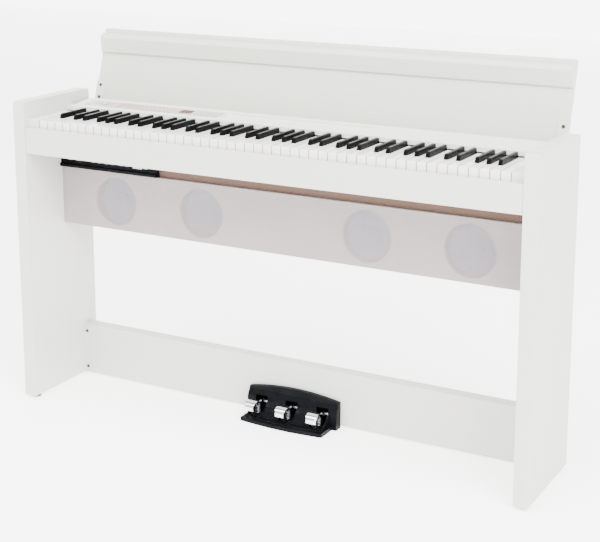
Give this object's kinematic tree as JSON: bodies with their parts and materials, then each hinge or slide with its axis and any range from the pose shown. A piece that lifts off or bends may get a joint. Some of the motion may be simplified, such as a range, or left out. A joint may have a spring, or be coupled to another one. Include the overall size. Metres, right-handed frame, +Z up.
{
  "type": "digital piano on stand",
  "caption": "Slim white digital piano with a full weighted keyboard, folding lid, speaker panel, side-panel stand, stretcher and pedal unit.",
  "frame": {"origin": "on the floor, under the middle of the whole piano with its lid open", "axes": "+X to the player's right, +Y away from the player, +Z up"},
  "size_m": [1.355, 0.3496, 0.9213],
  "materials": {
    "white_laminate": "white woodgrain foil on fibreboard, satin",
    "fibreboard": "raw brown fibreboard, matt",
    "console_plastic": "moulded, fine texture",
    "control_plate": "printed sheet, satin",
    "display": "dark red window",
    "button_plastic": "moulded, satin",
    "circuit_board": "green solder mask",
    "black_plastic": "moulded, fine texture",
    "socket_metal": "nickel plated",
    "white_key": "moulded, satin gloss",
    "black_key": "moulded, satin",
    "steel": "zinc plated",
    "painted_steel": "light grey paint",
    "speaker_cloth": "thin woven grille cloth",
    "cone_paper": "pressed paper cone",
    "chrome": "polished",
    "rubber": "matt"
  },
  "bodies": {
    "cabinet": {"cheek_blocks": "console_plastic", "console_back": "white_laminate", "console_top": "console_plastic", "control_plate": "control_plate", "display_window": "display", "floor_glides": "black_plastic", "grille_board": "fibreboard", "grille_cloth": "speaker_cloth", "headphone_sockets": "socket_metal", "jack_box": "black_plastic", "key_contact_board": "circuit_board", "key_frame": "black_plastic", "key_hinge_rod": "steel", "key_slip": "white_laminate", "keybed": "fibreboard", "left_pedal_spring": "steel", "left_side_panel": "white_laminate", "lid_hinge_pins": "steel", "main_circuit_board": "circuit_board", "middle_pedal_spring": "steel", "pedal_axle": "steel", "pedal_base": "black_plastic", "pedal_cover": "black_plastic", "pedal_stops": "rubber", "right_pedal_spring": "steel", "right_side_panel": "white_laminate", "screw_caps": "console_plastic", "speaker_baffle": "fibreboard", "speaker_cones": "cone_paper", "speaker_drivers": "painted_steel", "speaker_tray": "fibreboard", "stretcher": "white_laminate", "stretcher_brackets": "painted_steel", "stretcher_screws": "steel"},
    "lid": {"lid_board": "white_laminate", "lid_front_rail": "white_laminate", "lid_hinge_arms": "painted_steel", "lid_hinge_screws": "steel"},
    "left_pedal": {"left_pedal": "chrome"},
    "middle_pedal": {"middle_pedal": "chrome"},
    "right_pedal": {"right_pedal": "chrome"},
    "power_button": {"power_button": "button_plastic"},
    "volume_knob": {"volume_knob": "button_plastic"},
    "panel_buttons": {"panel_buttons": "button_plastic"},
    "key_c": {"key_c": "white_key"},
    "key_c_sharp": {"key_c_sharp": "black_key"},
    "key_d": {"key_d": "white_key"},
    "key_d_sharp": {"key_d_sharp": "black_key"},
    "key_e": {"key_e": "white_key"},
    "key_f": {"key_f": "white_key"},
    "key_f_sharp": {"key_f_sharp": "black_key"},
    "key_g": {"key_g": "white_key"},
    "key_g_sharp": {"key_g_sharp": "black_key"},
    "key_a": {"key_a": "white_key"},
    "key_a_sharp": {"key_a_sharp": "black_key"},
    "key_b": {"key_b": "white_key"},
    "bass_white_keys": {"bass_white_keys": "white_key"},
    "bass_black_keys": {"bass_black_keys": "black_key"},
    "treble_white_keys": {"treble_white_keys": "white_key"},
    "treble_black_keys": {"treble_black_keys": "black_key"}
  },
  "joints": [
    {"name": "lid_hinge", "type": "hinge", "parent": "cabinet", "child": "lid", "pos_m": [0, 0.05717, 0.714], "axis": [1, 0, 0], "range_deg": [0, 106]},
    {"name": "left_pedal_press", "type": "hinge", "parent": "cabinet", "child": "left_pedal", "pos_m": [-0.085, 0.02718, 0.034], "axis": [1, 0, 0], "range_deg": [0, 9], "stiffness_Nm_per_rad": 6, "springref_deg": -14.32, "deforming": ["left_pedal_spring"]},
    {"name": "middle_pedal_press", "type": "hinge", "parent": "cabinet", "child": "middle_pedal", "pos_m": [0, 0.02718, 0.034], "axis": [1, 0, 0], "range_deg": [0, 9], "stiffness_Nm_per_rad": 6, "springref_deg": -14.32, "deforming": ["middle_pedal_spring"]},
    {"name": "right_pedal_press", "type": "hinge", "parent": "cabinet", "child": "right_pedal", "pos_m": [0.085, 0.02718, 0.034], "axis": [1, 0, 0], "range_deg": [0, 9], "stiffness_Nm_per_rad": 6, "springref_deg": -14.32, "deforming": ["right_pedal_spring"]},
    {"name": "power_button_press", "type": "slide", "parent": "cabinet", "child": "power_button", "axis": [0, 0.1091, -0.994], "range_m": [0, 0.0008], "stiffness_N_per_m": 400, "springref_m": -0.002},
    {"name": "panel_buttons_press", "type": "slide", "parent": "cabinet", "child": "panel_buttons", "axis": [0, 0.1091, -0.994], "range_m": [0, 0.0008], "stiffness_N_per_m": 4000, "springref_m": -0.002},
    {"name": "volume_slide", "type": "slide", "parent": "cabinet", "child": "volume_knob", "axis": [1, 0, 0], "range_m": [-0.031, 0.018]},
    {"name": "key_c_press", "type": "hinge", "parent": "cabinet", "child": "key_c", "pos_m": [0, 0.05717, 0.706], "axis": [1, 0, 0], "range_deg": [0, 2.6], "stiffness_Nm_per_rad": 1.6, "springref_deg": -11.46},
    {"name": "key_c_sharp_press", "type": "hinge", "parent": "cabinet", "child": "key_c_sharp", "pos_m": [0, 0.05717, 0.706], "axis": [1, 0, 0], "range_deg": [0, 2.6], "stiffness_Nm_per_rad": 1.6, "springref_deg": -11.46},
    {"name": "key_d_press", "type": "hinge", "parent": "cabinet", "child": "key_d", "pos_m": [0, 0.05717, 0.706], "axis": [1, 0, 0], "range_deg": [0, 2.6], "stiffness_Nm_per_rad": 1.6, "springref_deg": -11.46},
    {"name": "key_d_sharp_press", "type": "hinge", "parent": "cabinet", "child": "key_d_sharp", "pos_m": [0, 0.05717, 0.706], "axis": [1, 0, 0], "range_deg": [0, 2.6], "stiffness_Nm_per_rad": 1.6, "springref_deg": -11.46},
    {"name": "key_e_press", "type": "hinge", "parent": "cabinet", "child": "key_e", "pos_m": [0, 0.05717, 0.706], "axis": [1, 0, 0], "range_deg": [0, 2.6], "stiffness_Nm_per_rad": 1.6, "springref_deg": -11.46},
    {"name": "key_f_press", "type": "hinge", "parent": "cabinet", "child": "key_f", "pos_m": [0, 0.05717, 0.706], "axis": [1, 0, 0], "range_deg": [0, 2.6], "stiffness_Nm_per_rad": 1.6, "springref_deg": -11.46},
    {"name": "key_f_sharp_press", "type": "hinge", "parent": "cabinet", "child": "key_f_sharp", "pos_m": [0, 0.05717, 0.706], "axis": [1, 0, 0], "range_deg": [0, 2.6], "stiffness_Nm_per_rad": 1.6, "springref_deg": -11.46},
    {"name": "key_g_press", "type": "hinge", "parent": "cabinet", "child": "key_g", "pos_m": [0, 0.05717, 0.706], "axis": [1, 0, 0], "range_deg": [0, 2.6], "stiffness_Nm_per_rad": 1.6, "springref_deg": -11.46},
    {"name": "key_g_sharp_press", "type": "hinge", "parent": "cabinet", "child": "key_g_sharp", "pos_m": [0, 0.05717, 0.706], "axis": [1, 0, 0], "range_deg": [0, 2.6], "stiffness_Nm_per_rad": 1.6, "springref_deg": -11.46},
    {"name": "key_a_press", "type": "hinge", "parent": "cabinet", "child": "key_a", "pos_m": [0, 0.05717, 0.706], "axis": [1, 0, 0], "range_deg": [0, 2.6], "stiffness_Nm_per_rad": 1.6, "springref_deg": -11.46},
    {"name": "key_a_sharp_press", "type": "hinge", "parent": "cabinet", "child": "key_a_sharp", "pos_m": [0, 0.05717, 0.706], "axis": [1, 0, 0], "range_deg": [0, 2.6], "stiffness_Nm_per_rad": 1.6, "springref_deg": -11.46},
    {"name": "key_b_press", "type": "hinge", "parent": "cabinet", "child": "key_b", "pos_m": [0, 0.05717, 0.706], "axis": [1, 0, 0], "range_deg": [0, 2.6], "stiffness_Nm_per_rad": 1.6, "springref_deg": -11.46},
    {"name": "bass_white_keys_press", "type": "hinge", "parent": "cabinet", "child": "bass_white_keys", "pos_m": [0, 0.05717, 0.706], "axis": [1, 0, 0], "range_deg": [0, 2.6], "stiffness_Nm_per_rad": 36.8, "springref_deg": -11.46},
    {"name": "bass_black_keys_press", "type": "hinge", "parent": "cabinet", "child": "bass_black_keys", "pos_m": [0, 0.05717, 0.706], "axis": [1, 0, 0], "range_deg": [0, 2.6], "stiffness_Nm_per_rad": 25.6, "springref_deg": -11.46},
    {"name": "treble_white_keys_press", "type": "hinge", "parent": "cabinet", "child": "treble_white_keys", "pos_m": [0, 0.05717, 0.706], "axis": [1, 0, 0], "range_deg": [0, 2.6], "stiffness_Nm_per_rad": 35.2, "springref_deg": -11.46},
    {"name": "treble_black_keys_press", "type": "hinge", "parent": "cabinet", "child": "treble_black_keys", "pos_m": [0, 0.05717, 0.706], "axis": [1, 0, 0], "range_deg": [0, 2.6], "stiffness_Nm_per_rad": 24, "springref_deg": -11.46}
  ]
}
